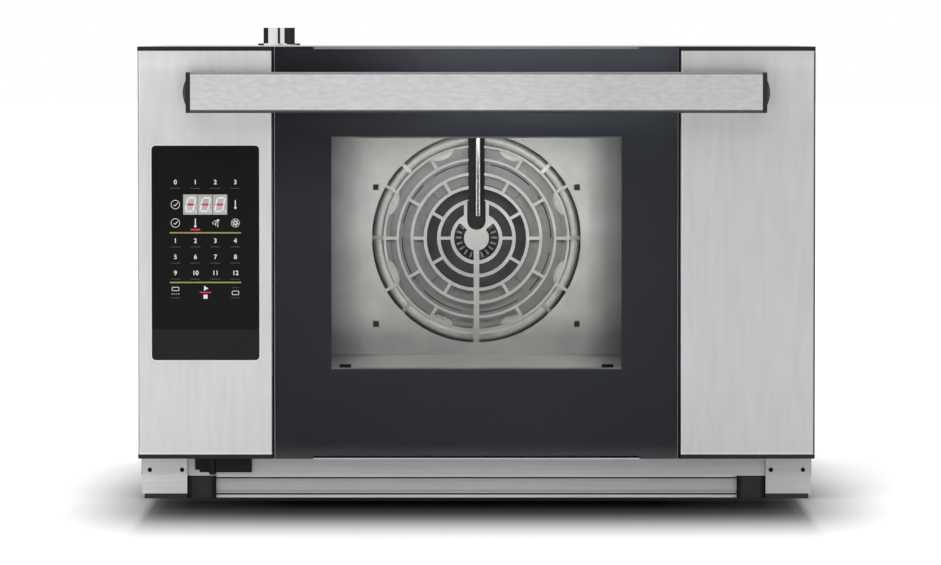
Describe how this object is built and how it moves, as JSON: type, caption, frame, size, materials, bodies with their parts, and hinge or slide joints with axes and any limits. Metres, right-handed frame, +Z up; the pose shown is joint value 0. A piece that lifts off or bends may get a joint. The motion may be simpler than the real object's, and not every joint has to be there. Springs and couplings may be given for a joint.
{
  "type": "convection oven",
  "caption": "Counter-top convection oven with a full-width drop-down glass door, bar handle, touch control panel, round fan guard and top steam outlet.",
  "frame": {"origin": "centre of the overall box's bottom face, on the counter under the middle of the oven", "axes": "+X to the right, +Y to the back and +Z up, seen from the front; the door faces -Y"},
  "size_m": [0.6, 0.587, 0.419],
  "materials": {
    "galvanised_steel": "satin",
    "brushed_base": "satin",
    "brushed_front": "satin",
    "brushed_case": "satin",
    "brushed_handle": "satin",
    "polished_steel": "polished",
    "chamber_steel": "satin",
    "fan_steel": "satin",
    "dark_steel": "satin",
    "element_steel": "satin",
    "black_rubber": "matte",
    "black_plastic": "matte",
    "pale_plastic": "satin",
    "red_plastic": "gloss",
    "control_gloss": "gloss",
    "display_grey": "gloss",
    "circuit_board": "satin",
    "motor_paint": "satin",
    "mineral_wool": "matte",
    "brass": "satin",
    "clear_glass": "gloss",
    "black_enamel": "gloss"
  },
  "bodies": {
    "cabinet": {"base_pan": "galvanised_steel", "front_sill": "brushed_base", "lower_fascia": "brushed_base", "corner_plate_left": "brushed_base", "corner_plate_right": "brushed_base", "foot_front_left": "black_rubber", "foot_front_right": "black_rubber", "rear_feet": "black_rubber", "cable_guide": "black_plastic", "hinge_arm_left": "galvanised_steel", "hinge_arm_right": "galvanised_steel", "hinge_pins": "polished_steel", "front_frame": "brushed_front", "chamber_shell": "chamber_steel", "insulation": "mineral_wool", "fan_baffle": "chamber_steel", "pipe_channel": "dark_steel", "baffle_posts": "polished_steel", "water_pipe": "polished_steel", "heating_element": "element_steel", "element_clips": "chamber_steel", "tray_rack_left": "chamber_steel", "tray_rack_right": "chamber_steel", "door_gasket": "black_rubber", "top_cover": "brushed_case", "side_panel_left": "brushed_case", "side_panel_right": "brushed_case", "rear_cover": "brushed_case", "chimney_pipe": "polished_steel", "rear_bulkhead": "galvanised_steel", "fan_motor": "motor_paint", "power_board": "circuit_board", "terminal_block": "pale_plastic", "cooling_fan_frame": "black_plastic", "water_valve": "brass", "cable_gland": "black_plastic", "safety_thermostat": "pale_plastic"},
    "door": {"door_outer_glass": "clear_glass", "door_glass_mask": "black_enamel", "door_panel_left": "brushed_front", "door_panel_right": "brushed_front", "door_top_profile": "black_plastic", "door_bottom_profile": "black_plastic", "door_inner_panel": "chamber_steel", "door_inner_glass": "clear_glass", "inner_glass_clips": "black_plastic", "door_light_bars": "pale_plastic", "control_housing": "black_plastic", "control_face": "control_gloss", "control_display": "display_grey", "control_lower_cover": "black_plastic", "control_board": "circuit_board", "handle_bar": "brushed_handle", "handle_cap_left": "black_plastic", "handle_cap_right": "black_plastic", "door_hinge_ears": "galvanised_steel"},
    "fan": {"fan_wheel": "fan_steel", "fan_nut": "polished_steel", "motor_shaft": "polished_steel"},
    "cooling_fan": {"cooling_fan_rotor": "black_plastic"},
    "reset": {"reset_button": "red_plastic"}
  },
  "joints": [
    {"name": "door_hinge", "type": "hinge", "parent": "cabinet", "child": "door", "pos_m": [0, -0.2485, 0.046], "axis": [1, 0, 0], "range_deg": [0, 90], "stiffness_Nm_per_rad": 3, "springref_deg": -22.92},
    {"name": "fan_spin", "type": "hinge", "parent": "cabinet", "child": "fan", "pos_m": [0, 0.16, 0.2185], "axis": [0, 1, 0], "continuous": true},
    {"name": "cooling_fan_spin", "type": "hinge", "parent": "cabinet", "child": "cooling_fan", "pos_m": [0.19, 0.267, 0.13], "axis": [0, 1, 0], "continuous": true},
    {"name": "reset_press", "type": "slide", "parent": "cabinet", "child": "reset", "axis": [0, -1, 0], "range_m": [0, 0.002], "stiffness_N_per_m": 300}
  ]
}
